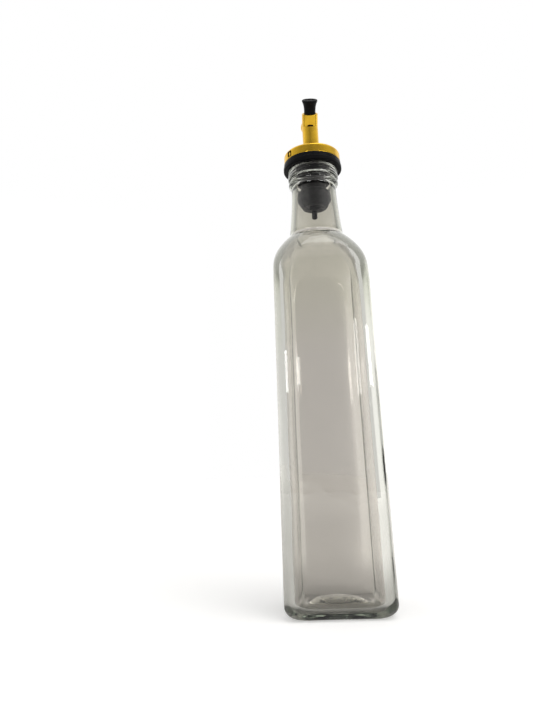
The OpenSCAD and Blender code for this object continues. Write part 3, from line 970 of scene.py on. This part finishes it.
class OILBOTTLE_OT_core(bpy.types.Operator):
    """Build the hard core with its passages for oil and air, and the air tube under it"""

    bl_idname = "oilbottle.core"
    bl_label = "Stopper Core"

    def execute(self, context):
        p = PourerForm(context.scene.pourer_sizes)
        ring = p.collar_radius - p.collar_wall - 0.2
        flange = reach_of("stopper_core")
        corners = [
            (0, p.core_foot, 0),
            (p.core_radius, p.core_foot, 0.6),
            (p.core_radius, p.step, 0.1),
            (p.core_top_radius, p.step, 0.1),
            (p.core_top_radius, p.sleeve_top, 0.1),
            (flange, p.sleeve_top, 0.45),
            (flange, p.core_top, 0.45),
            (ring, p.core_top, 0.15),
            (ring, p.ring_top, 0.3),
            (ring - 2.4, p.ring_top, 0.3),
            (ring - 2.4, p.core_top, 0.2),
            (0, p.core_top, 0),
        ]
        blank = lathed("core", corners, closed=False, segments=128)
        seat_low, past = p.core_top - 3.65, 2
        in_front = Matrix.Translation((0, -p.flow_offset, 0))
        behind = Matrix.Translation((0, p.air_tube_offset, 0))
        at_breather = Matrix.Translation((0, p.breather_offset, 0))
        cutters = [
            rod(p.flow_radius, p.core_foot - past, p.core_top - 3, in_front),
            rod(SPIGOT_SEAT, seat_low, p.core_top + past),
            rod(p.air_tube_radius + 0.05, p.core_foot - past, p.step + 0.4, behind),
            rod(PEG_HOLE, p.core_top - 2, p.core_top + past, at_breather),
        ]
        mesh = carved(blank, cutters)
        piece("core_plastic", mesh, finish("plastic"), "head", "core_plastic", "stopper_core")

        # The air tube: a thin tube whose end is cut square and eased
        low, high, bore = foot_of("air_tube"), top_of("air_tube"), p.air_bore_radius
        outline = [
            (bore, low, 0.15),
            (p.air_tube_radius, low, 0.25),
            (p.air_tube_radius, high, 0.1),
            (bore, high, 0.1),
        ]
        mesh = lathed("tube", outline, segments=48, place=behind)
        piece("air_tube_plastic", mesh, finish("plastic"), "head", "core_plastic", "air_tube")
        return {"FINISHED"}


def prism(outline, low, high, place):
    """A closed prism whose outline lies in X and Z and which runs along Y."""
    n = len(outline)
    verts = [place @ Vector((x, y, z)) for y in (low, high) for x, z in outline]
    faces = [tuple(range(n)), tuple(range(2 * n - 1, n - 1, -1))]
    faces += [(i, (i + 1) % n, n + (i + 1) % n, n + i) for i in range(n)]
    return mesh_from("prism", verts, faces)


class OILBOTTLE_OT_collar(bpy.types.Operator):
    """Build the plated collar with its two snap windows"""

    bl_idname = "oilbottle.collar"
    bl_label = "Collar"

    def execute(self, context):
        p = PourerForm(context.scene.pourer_sizes)
        r = p.collar_radius
        inner = r - p.collar_wall
        mouth = p.breather_offset + p.breather_radius + 0.35
        slope = p.collar_round - p.collar_wall
        under = p.collar_top - 0.9
        corners = [
            (inner, p.core_top, 0.1),
            (r, p.core_top, 0.3),
            (r, p.collar_top, p.collar_round),
            (mouth, p.collar_top, 0.35),
            (mouth, under, 0.2),
            (inner - slope, under, 0.2),
            (inner, under - slope, 0.3),
        ]
        blank = lathed("collar", corners, segments=192)
        w, h = p.window_width / 2, p.window_height
        window = rounded_box(-w, w, 0, h, 0.5)
        sill = Matrix.Translation((0, 0, p.core_top + 0.8))
        cutters, tongues = [], []
        for extra in (0.0, math.pi):
            place = Matrix.Rotation(p.window_bearing + extra, 4, "Z") @ sill
            cutters.append(prism(window, -r - 1.5, -inner + 1.2, place))
            # The tongue stands free in the window and is held from behind
            tongues.append(prism(rounded_box(-0.7, 0.7, 1.0, 3.2, 0.4), -r + 0.3, -r + 1.35, place))
        mesh = carved(blank, cutters)
        whole = remade(mesh, *tongues)
        whole.set_sharp_from_angle(angle=SHARP)
        piece("collar_gold", whole, finish("gold"), "head", "gold_plate", "collar")
        return {"FINISHED"}


def rounded_box(x0, x1, z0, z1, r):
    """Outline of a box with round corners."""
    made = []
    centres = [(x1 - r, z0 + r, -90), (x1 - r, z1 - r, 0), (x0 + r, z1 - r, 90), (x0 + r, z0 + r, 180)]
    for x, z, start in centres:
        made += arc(x, z, r, math.radians(start), math.radians(start + 90), 4)
    return made


def elbow_rows(p, radius, foot, reach, segments):
    """Rings of points along a tube that stands upright and then leans.

    Its bend is crisp on the inside and round on the outside.
    """
    mitre = math.tan(p.spout_lean / 2)
    around = circle(radius, segments)

    def between(start, end, t):
        """A height: for t from 0 to 1 a share of the way, and for t below 0 that far short of the end."""
        return start + (end - start) * t if t >= 0 else end + t

    rings = []
    for t in (0, 0.03, 0.3, 0.6, -0.6, -0.12, 1):
        rings.append([Vector((x, y, between(foot, p.elbow + min(y, 0) * mitre, t))) for x, y in around])
    for k in range(1, 15):
        spin = Matrix.Rotation(p.spout_lean * k / 14, 3, "X")
        rings.append(
            [
                spin @ Vector((x, y, 0)) + UP * p.elbow if y > 0 else Vector((x, y, p.elbow + y * mitre))
                for x, y in around
            ]
        )
    for t in (0.02, 0.1, 0.5, -0.12, 1):
        rings.append([p.leaning @ Vector((x, y, between(max(-y, 0) * mitre, reach, t))) for x, y in around])
    return rings


class OILBOTTLE_OT_spout(bpy.types.Operator):
    """Build the plated spout: a round plate and a tube with a crisp elbow"""

    bl_idname = "oilbottle.spout"
    bl_label = "Spout"

    def execute(self, context):
        p = PourerForm(context.scene.pourer_sizes)
        segments = 96
        foot = p.core_top - 3.6
        edge = 0.45
        outer = elbow_rows(p, p.spout_radius, p.plate_top - 0.6, p.spout_reach - edge, segments)
        inner = elbow_rows(p, p.spout_bore, foot, p.spout_reach - edge, segments)
        # Quarter rounds over the rim: up from the outside, then down into the bore
        lip = []
        outside = (p.spout_radius - edge, edge, range(1, 9))
        inside = (p.spout_bore + edge, -edge, range(7, 0, -1))
        for start, way, steps in (outside, inside):
            for k in steps:
                a = math.radians(90 * k / 8)
                z = p.spout_reach - edge + edge * math.sin(a)
                rim = circle(start + way * math.cos(a), segments)
                lip.append([p.leaning @ Vector((x, y, z)) for x, y in rim])
        # The foot widens to the plate in a small braze fillet, and the spigot goes down into the core
        shank, plate = 6.0, 16.0
        corners = [
            (p.spout_bore - 0.4, foot, 0.1),
            (SPIGOT, foot, 0.25),
            (SPIGOT, p.core_top, 0.1),
            (shank, p.core_top + 0.05, 0.1),
            (shank, p.plate_low, 0.1),
            (plate, p.plate_low, 0.2),
            (plate, p.plate_top, 0.3),
            (p.spout_radius, p.plate_top, 0.9),
            (p.spout_radius, p.plate_top + 3, 0),
        ]
        fillet = [[Vector((x, y, q.y)) for x, y in circle(q.x, segments)] for q in eased(corners)[:-1]]
        rings = fillet + outer[1:] + lip + list(reversed(inner))
        verts = [v for ring in rings for v in ring]
        rows = [list(range(i * segments, (i + 1) * segments)) for i in range(len(rings))]
        faces = []
        for low, high in list(zip(rows, rows[1:])) + [(rows[-1], rows[0])]:
            faces += strip(low, high)
        mesh = mesh_from("spout", verts, faces)
        hole = rod(PEG_HOLE, p.plate_low - 1, p.plate_top + 1, Matrix.Translation((0, p.breather_offset, 0)))
        # A short nick runs along the crease in front
        front = -p.spout_radius
        crease = Matrix.Translation((0, 0, p.elbow - p.spout_radius * math.tan(p.spout_lean / 2)))
        nick = prism(rounded_box(-2.1, 2.1, -0.55, 0.55, 0.4), front - 1, front + 0.45, crease)
        mesh = carved(mesh, [hole, nick])
        piece("spout_gold", mesh, finish("gold"), "head", "gold_plate", "spout")
        # A black sheet lies in the nick, just under the gold: painted shade for the dark fold at the crease
        crease_shade = prism(rounded_box(-2.08, 2.08, -0.53, 0.53, 0.4), front + 0.3, front + 0.5, crease)
        piece("spout_inlay", crease_shade, finish("plastic"), "head", "core_plastic")
        return {"FINISHED"}


class OILBOTTLE_OT_breather(bpy.types.Operator):
    """Build the plated breather post with the ball on its top"""

    bl_idname = "oilbottle.breather"
    bl_label = "Breather"

    def execute(self, context):
        p = PourerForm(context.scene.pourer_sizes)
        low, vent = foot_of("breather"), 1.2
        ball = top_of("breather") - math.sqrt(p.ball_radius**2 - vent**2)
        start = -math.acos(p.breather_radius / p.ball_radius)
        end = math.acos((vent + 0.25) / p.ball_radius)
        corners = [
            (vent, low, 0.1),
            (PEG, low, 0.2),
            (PEG, p.plate_top + 0.05, 0.1),
            (p.breather_radius, p.plate_top + 0.05, 0.3),
            (p.breather_radius, ball + p.ball_radius * math.sin(start) - 0.5, 0),
        ]
        corners += [(x, z, 0) for x, z in arc(0, ball, p.ball_radius, start, end, 28)]
        corners.append((vent, ball + p.ball_radius * math.sin(end) - 0.25, 0))
        place = Matrix.Translation((0, p.breather_offset, 0))
        mesh = lathed("breather", corners, segments=80, place=place)
        mesh.set_sharp_from_angle(angle=SHARP)
        piece("breather_gold", mesh, finish("gold"), "head", "gold_plate", "breather")
        return {"FINISHED"}


class OILBOTTLE_OT_plug(bpy.types.Operator):
    """Build the soft plug with its flared and dished top"""

    bl_idname = "oilbottle.plug"
    bl_label = "Spout Plug"

    def execute(self, context):
        p = PourerForm(context.scene.pourer_sizes)
        top, high = p.plug_top_radius, p.plug_proud
        waist, rim = 3.95, 0.3
        corners = [
            (0, -p.plug_depth, 0),
            (p.plug_radius - 0.5, -p.plug_depth, 0.4),
            (p.plug_radius, -p.plug_depth * 0.4, 0.8),
            (p.plug_radius, rim, 0),
        ]
        for k in range(1, 11):
            t = k / 10
            corners.append((waist + (top - waist) * t**3, rim + (high - 1.4) * t, 0))
        corners += [
            (top, high - 0.35, 0.1),
            (top - 0.3, high, 0.25),
            (top - 1.1, high - 0.05, 0.3),
            (top - 1.9, high - 0.6, 0.5),
            (0, high - 0.75, 0),
        ]
        place = p.leaning @ Matrix.Translation((0, 0, p.spout_reach))
        mesh = lathed("plug", corners, closed=False, segments=80, place=place)
        piece("plug_rubber", mesh, finish("plug"), "plug", "plug_rubber", "spout_plug")
        return {"FINISHED"}


# ------------------------------------------------------------------ the stage

# The view: its size, focal length and centre in pixels, the camera's pitch and roll in degrees,
# its place in millimetres from the bottle's foot, and the bottle's turn to it in degrees
VIEW_SIZE = (533, 711)
FOCAL = 590.45
CENTRE = (270.24, 257.0)
PITCH = 19.883
ROLL = -1.745
EYE = (39.293 - 69.87, -358.671 + 0.1, 70.432)
TURN = -1.0

# Sine of the bearing from straight behind at which each glow starts and is full, and what it adds to white
SIDE_GLOW = [(0.05, 0.34, 0.5), (-0.12, -0.3, 0.3), (-0.5, -0.8, -0.3)]

# Bearings round the studio in degrees, anticlockwise from +X, and how bright its wall is there
WALL_TONES = [
    (-200, 1.2), (-165, 0.8), (-143, 0.6), (-110, 0.42), (-98, 0.34),
    (-85, 0.42), (-61, 0.52), (-15, 0.78), (20, 0.95),
]
# Heights up that wall in metres, and the share of its brightness at each
WALL_SHARES = [(0.0, 0.45), (0.45, 0.2), (1.08, 0.14), (1.28, 1.0), (3.4, 1.0)]


def set_camera():
    """Places the camera so that the bottle stands as the view has it."""
    data = bpy.data.cameras.new("picture_camera")
    wide, tall = VIEW_SIZE
    data.sensor_width = 36.0
    data.lens = FOCAL / tall * 36.0
    data.shift_x = (wide / 2 - CENTRE[0]) / tall
    data.shift_y = (CENTRE[1] - tall / 2) / tall
    data.clip_start = 0.01
    data.clip_end = 50.0
    pitch, roll = math.radians(PITCH), math.radians(ROLL)
    ahead = Vector((0, math.cos(pitch), math.sin(pitch)))
    upward = Vector((0, -math.sin(pitch), math.cos(pitch)))
    side = Vector((1, 0, 0))
    right = side * math.cos(roll) + upward * math.sin(roll)
    above = upward * math.cos(roll) - side * math.sin(roll)
    spin = Matrix.Rotation(math.radians(-TURN), 3, "Z")
    axes = Matrix((spin @ right, spin @ above, spin @ -ahead)).transposed()
    camera = placed("picture_camera", data)
    camera.matrix_world = Matrix.Translation(spin @ Vector(EYE) * MM) @ axes.to_4x4()
    bpy.context.scene.camera = camera


def seen_directly(tree):
    """1 for what the camera, a mirror or clear glass sees, and 0 for the light that falls on things."""
    path = add_node(tree, "ShaderNodeLightPath")
    first = add_node(
        tree,
        "ShaderNodeMath",
        {0: path.outputs["Is Camera Ray"], 1: path.outputs["Is Glossy Ray"]},
        operation="MAXIMUM",
    )
    return add_node(
        tree, "ShaderNodeMath", {0: first, 1: path.outputs["Is Transmission Ray"]}, operation="MAXIMUM"
    )


def side_glow(tree, direction):
    """How much brighter the white backdrop is towards its sides, which are lit from beyond the view."""
    part = add_node(tree, "ShaderNodeSeparateXYZ", {"Vector": direction})
    flat = add_node(tree, "ShaderNodeCombineXYZ", {"X": part.outputs["X"], "Y": part.outputs["Y"]})
    unit = add_node(tree, "ShaderNodeVectorMath", {0: flat}, operation="NORMALIZE")
    across = add_node(tree, "ShaderNodeSeparateXYZ", {"Vector": unit}).outputs["X"]
    glow = 0.0
    for start, end, gain in SIDE_GLOW:
        side = add_node(
            tree,
            "ShaderNodeMapRange",
            {"Value": across, "From Min": start, "From Max": end, "To Min": 0.0, "To Max": gain},
            interpolation_type="SMOOTHSTEP",
        )
        glow = add_node(tree, "ShaderNodeMath", {0: glow, 1: side}, operation="ADD")
    steep = add_node(tree, "ShaderNodeVectorMath", {0: direction}, operation="NORMALIZE")
    rise = add_node(tree, "ShaderNodeSeparateXYZ", {"Vector": steep}).outputs["Z"]
    low = add_node(
        tree,
        "ShaderNodeMapRange",
        {"Value": rise, "From Min": 0.2, "From Max": 0.42, "To Min": 1.0, "To Max": 0.0},
        interpolation_type="SMOOTHSTEP",
    )
    return add_node(tree, "ShaderNodeMath", {0: glow, 1: low}, operation="MULTIPLY")


def soft_lamp(name, place, size, watts):
    """A rectangular soft lamp, aimed at the bottle's middle."""
    data = bpy.data.lights.new(name, "AREA")
    data.shape = "RECTANGLE"
    data.size, data.size_y = size
    data.energy = watts
    lamp = placed(name, data)
    lamp.location = place
    lamp.rotation_euler = (Vector((0, 0, 0.12)) - Vector(place)).to_track_quat("-Z", "Y").to_euler()


def studio_wall():
    """The wall and curtain behind the camera, which show only in what the pieces mirror or turn back."""
    steps, radius = 88, 1.7
    first, last = WALL_TONES[0][0], WALL_TONES[-1][0]
    verts, tones = [], []
    for z, share in WALL_SHARES:
        for k in range(steps + 1):
            bearing = first + (last - first) * k / steps
            i = max(i for i, (start, _) in enumerate(WALL_TONES[:-1]) if start <= bearing)
            (a, low), (b, high) = WALL_TONES[i : i + 2]
            tones.append(share * (low + (high - low) * (bearing - a) / (b - a)))
            turn = math.radians(bearing)
            verts.append((radius * math.cos(turn), radius * math.sin(turn), z))
    n = steps + 1
    faces = [
        (j * n + k, j * n + k + 1, (j + 1) * n + k + 1, (j + 1) * n + k)
        for j in range(len(WALL_SHARES) - 1)
        for k in range(steps)
    ]
    mesh = bpy.data.meshes.new("studio_wall")
    mesh.from_pydata(verts, [], faces)
    mesh.attributes.new("tone", "FLOAT", "POINT").data.foreach_set("value", tones)
    wall = placed("studio_wall", mesh)
    cloth, tree, where = blank_material("felt_curtain_grey")
    tone = add_node(tree, "ShaderNodeAttribute", attribute_name="tone")
    # What is seen straight through clear glass is white here too; only what the glass turns back is dark
    part = add_node(tree, "ShaderNodeSeparateXYZ", {"Vector": where})
    across = add_node(tree, "ShaderNodeMath", {0: part.outputs["X"]}, operation="ABSOLUTE")
    aside = add_node(
        tree,
        "ShaderNodeMapRange",
        {"Value": across, "From Min": 0.4 * radius, "From Max": 0.85 * radius},
        interpolation_type="SMOOTHSTEP",
    )
    path = add_node(tree, "ShaderNodeLightPath")
    mirrored = path.outputs["Glossy Depth"]
    straight = add_node(tree, "ShaderNodeMath", {0: mirrored, 1: 0.5}, operation="LESS_THAN")
    white = add_node(tree, "ShaderNodeMath", {0: aside.outputs["Result"], 1: straight}, operation="MAXIMUM")
    through = add_node(
        tree, "ShaderNodeMath", {0: white, 1: path.outputs["Is Transmission Ray"]}, operation="MULTIPLY"
    )
    level = add_node(tree, "ShaderNodeMix", {0: through, 2: tone.outputs["Fac"], 3: 1.0})
    glow = add_node(tree, "ShaderNodeEmission", {"Strength": level})
    add_node(tree, "ShaderNodeOutputMaterial", {"Surface": glow})
    mesh.materials.append(cloth)
    wall.visible_camera = False
    wall.visible_diffuse = False
    wall.visible_shadow = False


def studio_world():
    """A white surround, which clear glass sees brighter at its sides and dimmer and olive above."""
    world = bpy.data.worlds.new("soft_studio")
    world.use_nodes = True
    tree = world.node_tree
    tree.nodes.clear()
    light = add_node(tree, "ShaderNodeBackground", {"Color": WHITE, "Strength": 0.6})
    direction = add_node(tree, "ShaderNodeTexCoord").outputs["Generated"]
    level = add_node(tree, "ShaderNodeMath", {0: side_glow(tree, direction), 1: 1.0}, operation="ADD")
    # The backdrop ends high up, lower at its sides, and clear glass sees the dimmer ceiling over it
    part = add_node(tree, "ShaderNodeSeparateXYZ", {"Vector": direction})
    aside = add_node(tree, "ShaderNodeMath", {0: part.outputs["X"]}, operation="ABSOLUTE")
    rise = add_node(
        tree, "ShaderNodeMath", {0: aside, 1: 0.4, 2: part.outputs["Z"]}, operation="MULTIPLY_ADD"
    )
    over = add_node(
        tree,
        "ShaderNodeMapRange",
        {"Value": rise, "From Min": 0.54, "From Max": 0.76, "To Min": 0.0, "To Max": 0.5},
        interpolation_type="SMOOTHSTEP",
    )
    ray = add_node(tree, "ShaderNodeLightPath").outputs["Is Transmission Ray"]
    ceiling = add_node(tree, "ShaderNodeMath", {0: over, 1: ray}, operation="MULTIPLY")
    level = add_node(tree, "ShaderNodeMath", {0: level, 1: ceiling}, operation="SUBTRACT")
    # Seen through the glass, the backdrop's upper part is a little olive
    upper = add_node(
        tree,
        "ShaderNodeMapRange",
        {"Value": part.outputs["Z"], "From Min": 0.16, "From Max": 0.32},
        interpolation_type="SMOOTHSTEP",
    )
    olive = add_node(tree, "ShaderNodeMath", {0: upper, 1: ray}, operation="MULTIPLY")
    colour = add_node(
        tree,
        "ShaderNodeVectorMath",
        {0: olive, 1: (-0.06, -0.045, -0.12), 2: WHITE[:3]},
        operation="MULTIPLY_ADD",
    )
    white = add_node(tree, "ShaderNodeBackground", {"Color": colour, "Strength": level})
    either = add_node(tree, "ShaderNodeMixShader", {0: seen_directly(tree), 1: light, 2: white})
    add_node(tree, "ShaderNodeOutputWorld", {"Surface": either})
    bpy.context.scene.world = world


def stage_floor(colour):
    """The floor: white to the camera, dimmer through clear glass, most so near the foot, and in metal."""
    side = 6.0
    corners = [(-side, -side, 0), (side, -side, 0), (side, side, 0), (-side, side, 0)]
    plane = bpy.data.meshes.new("stage_floor")
    plane.from_pydata(corners, [], [(0, 1, 2, 3)])
    floor = placed("stage_floor", plane)
    paint, tree, where = blank_material("painted_board_matt_white")
    board = add_node(tree, "ShaderNodeBsdfDiffuse", {"Color": (*colour, 1.0)})
    away = add_node(tree, "ShaderNodeVectorMath", {0: where}, operation="LENGTH").outputs["Value"]
    clear = add_node(
        tree,
        "ShaderNodeMapRange",
        {"Value": away, "From Min": 0.05, "From Max": 0.25},
        interpolation_type="SMOOTHSTEP",
    )
    far = add_node(
        tree,
        "ShaderNodeMapRange",
        {"Value": away, "From Min": 0.5, "From Max": 2.0, "To Min": 0.1, "To Max": 0.33},
    )
    sides = add_node(tree, "ShaderNodeMath", {0: side_glow(tree, where), 1: far}, operation="ADD")
    through = add_node(tree, "ShaderNodeMath", {0: sides, 1: clear}, operation="MULTIPLY")
    # What each kind of ray sees added to the lit board
    added = {"Is Camera Ray": 0.37, "Is Transmission Ray": through, "Is Glossy Ray": 0.06}
    path = add_node(tree, "ShaderNodeLightPath")
    level = 0.0
    for ray, strength in added.items():
        part = add_node(tree, "ShaderNodeMath", {0: path.outputs[ray], 1: strength}, operation="MULTIPLY")
        level = add_node(tree, "ShaderNodeMath", {0: level, 1: part}, operation="MAXIMUM")
    glow = add_node(tree, "ShaderNodeEmission", {"Strength": level})
    both = add_node(tree, "ShaderNodeAddShader", {0: board, 1: glow})
    add_node(tree, "ShaderNodeOutputMaterial", {"Surface": both})
    plane.materials.append(paint)


def sky_lamp():
    """A broad, weak light from above."""
    data = bpy.data.lights.new("sky_light", "SUN")
    data.energy = 0.9
    data.angle = math.radians(50)
    placed("sky_light", data).rotation_euler = (math.radians(32), 0, math.radians(38))


class OILBOTTLE_OT_stage(bpy.types.Operator):
    """Set the floor, the lamps and the camera"""

    bl_idname = "oilbottle.stage"
    bl_label = "Stage"

    def execute(self, context):
        studio_world()
        stage_floor(context.scene.bottle_finishes.floor)
        studio_wall()
        sky_lamp()
        soft_lamp("left_window", (-0.55, -1.4, 0.35), (0.5, 0.12), 2.2)
        soft_lamp("right_window", (0.95, -1.2, 0.40), (0.85, 0.18), 5.0)
        set_camera()
        context.scene.view_settings.view_transform = "Standard"
        return {"FINISHED"}


# ------------------------------------------------------------------ the add-on

BUILD_ORDER = ["glass", "dots", "sleeve", "core", "collar", "spout", "breather", "plug", "stage"]


class OILBOTTLE_PT_panel(bpy.types.Panel):
    """Lists the bottle's sizes, its finishes and its pieces"""

    bl_label = "Oil Bottle"
    bl_idname = "OILBOTTLE_PT_panel"
    bl_space_type = "VIEW_3D"
    bl_region_type = "UI"
    bl_category = "Oil Bottle"

    def draw(self, context):
        column = self.layout.column()
        for name in BUILD_ORDER:
            column.operator(f"oilbottle.{name}")
        for group in (context.scene.bottle_sizes, context.scene.pourer_sizes, context.scene.bottle_finishes):
            column.separator()
            for key in group.__annotations__:
                column.prop(group, key)


CLASSES = [
    BottleSizes,
    PourerSizes,
    Finishes,
    OILBOTTLE_OT_glass,
    OILBOTTLE_OT_dots,
    OILBOTTLE_OT_sleeve,
    OILBOTTLE_OT_core,
    OILBOTTLE_OT_collar,
    OILBOTTLE_OT_spout,
    OILBOTTLE_OT_breather,
    OILBOTTLE_OT_plug,
    OILBOTTLE_OT_stage,
    OILBOTTLE_PT_panel,
]


def register():
    for kind in CLASSES:
        bpy.utils.register_class(kind)
    bpy.types.Scene.bottle_sizes = PointerProperty(type=BottleSizes)
    bpy.types.Scene.pourer_sizes = PointerProperty(type=PourerSizes)
    bpy.types.Scene.bottle_finishes = PointerProperty(type=Finishes)


def unregister():
    del bpy.types.Scene.bottle_finishes
    del bpy.types.Scene.pourer_sizes
    del bpy.types.Scene.bottle_sizes
    for kind in reversed(CLASSES):
        bpy.utils.unregister_class(kind)


def main():
    register()
    for name in BUILD_ORDER:
        getattr(bpy.ops.oilbottle, name)()


if __name__ == "__main__":
    main()
